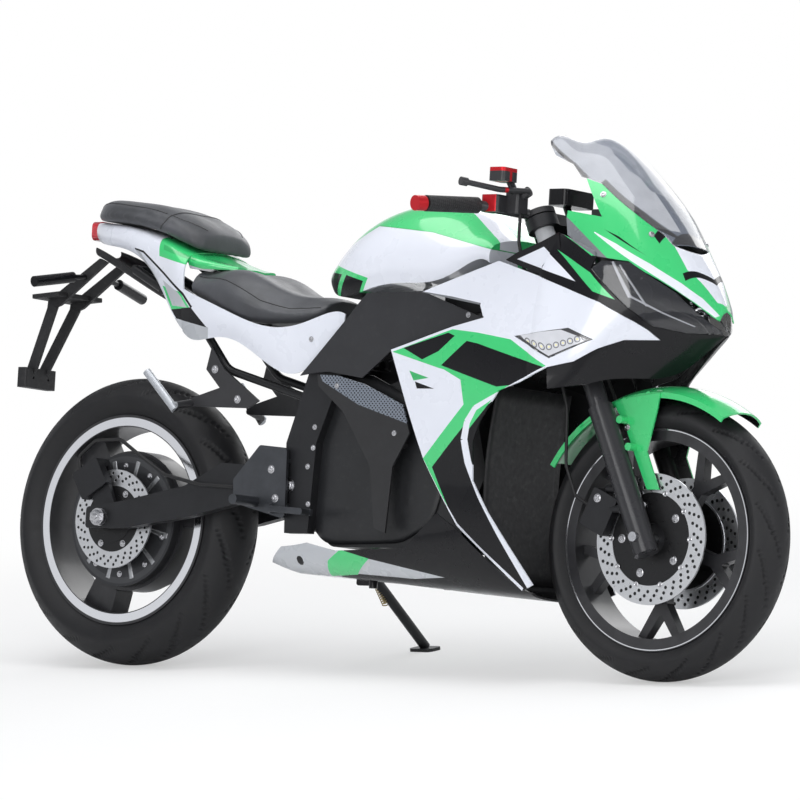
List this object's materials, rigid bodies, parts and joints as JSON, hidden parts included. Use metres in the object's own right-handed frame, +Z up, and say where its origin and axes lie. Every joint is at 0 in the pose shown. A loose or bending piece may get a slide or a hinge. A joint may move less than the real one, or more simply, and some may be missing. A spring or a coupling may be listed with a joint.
{
  "type": "electric sport motorcycle",
  "caption": "Electric sport motorcycle with a hub motor, full fairing and two seats, leaning on its side stand.",
  "frame": {"origin": "on the floor, under the middle of the parked motorcycle's bounding box", "axes": "+X forward, +Y to the rider's left, +Z up; parked, so the motorcycle leans 12 degrees to the left"},
  "size_m": [2.0403, 0.748, 1.1213],
  "materials": {
    "tyre": "moulded",
    "black_metal": "black painted",
    "disc_steel": "ground",
    "motor_case": "black with bright slots",
    "black_case": "satin",
    "silver_plate": "satin",
    "steel_tube": "satin black",
    "paint": "gloss white and green",
    "clear_screen": "clear grey",
    "smoked_lens": "smoked",
    "clear_lens": "clear",
    "black_plastic": "satin",
    "seat_cover": "grained",
    "red_lens": "clear red",
    "black_rubber": "moulded"
  },
  "bodies": {
    "chassis": {"main_frame": "black_metal", "battery_pack": "black_case", "frame_plates": "silver_plate", "subframe": "steel_tube", "swingarm": "black_metal", "rear_axle": "disc_steel", "rear_shock": "steel_tube", "rear_caliper": "black_metal", "upper_cowl": "paint", "windshield": "clear_screen", "headlight": "smoked_lens", "fairing_right": "paint", "fairing_left": "paint", "front_indicators": "clear_lens", "belly_pan": "paint", "side_covers": "black_plastic", "tank_cover": "paint", "rider_seat": "seat_cover", "pillion_seat": "seat_cover", "tail_fairing": "paint", "undertail": "black_plastic", "plate_bracket": "black_plastic", "tail_light": "red_lens", "rear_indicators": "black_plastic", "rearsets": "black_metal", "passenger_pegs": "black_metal", "rear_brake_hose": "black_rubber"},
    "steering": {"fork_legs": "black_metal", "triple_clamps": "black_metal", "clip_ons": "black_metal", "grips": "black_rubber", "hand_controls": "black_plastic", "instrument": "black_plastic", "front_fender": "paint", "front_calipers": "black_metal", "front_axle": "disc_steel", "front_brake_hoses": "black_rubber"},
    "front_wheel": {"front_tyre": "tyre", "front_rim": "black_metal", "front_discs": "disc_steel"},
    "rear_wheel": {"rear_tyre": "tyre", "rear_rim": "black_metal", "hub_motor": "motor_case", "rear_disc": "disc_steel"},
    "side_stand": {"side_stand": "black_metal"}
  },
  "joints": [
    {"name": "steering_turn", "type": "hinge", "parent": "chassis", "child": "steering", "pos_m": [0.43838, -0.02255, 0.83143], "axis": [-0.4147, 0.1892, 0.8901], "range_deg": [-25, 25]},
    {"name": "front_wheel_spin", "type": "hinge", "parent": "steering", "child": "front_wheel", "pos_m": [0.73075, -0.13879, 0.28455], "axis": [0, 0.9781, -0.2079], "continuous": true},
    {"name": "rear_wheel_spin", "type": "hinge", "parent": "chassis", "child": "rear_wheel", "pos_m": [-0.68925, -0.13361, 0.3089], "axis": [0, 0.9781, -0.2079], "continuous": true},
    {"name": "side_stand_fold", "type": "hinge", "parent": "chassis", "child": "side_stand", "pos_m": [-0.14925, -0.01128, 0.187], "axis": [0, 0.8064, 0.5913], "range_deg": [0, 88]}
  ]
}
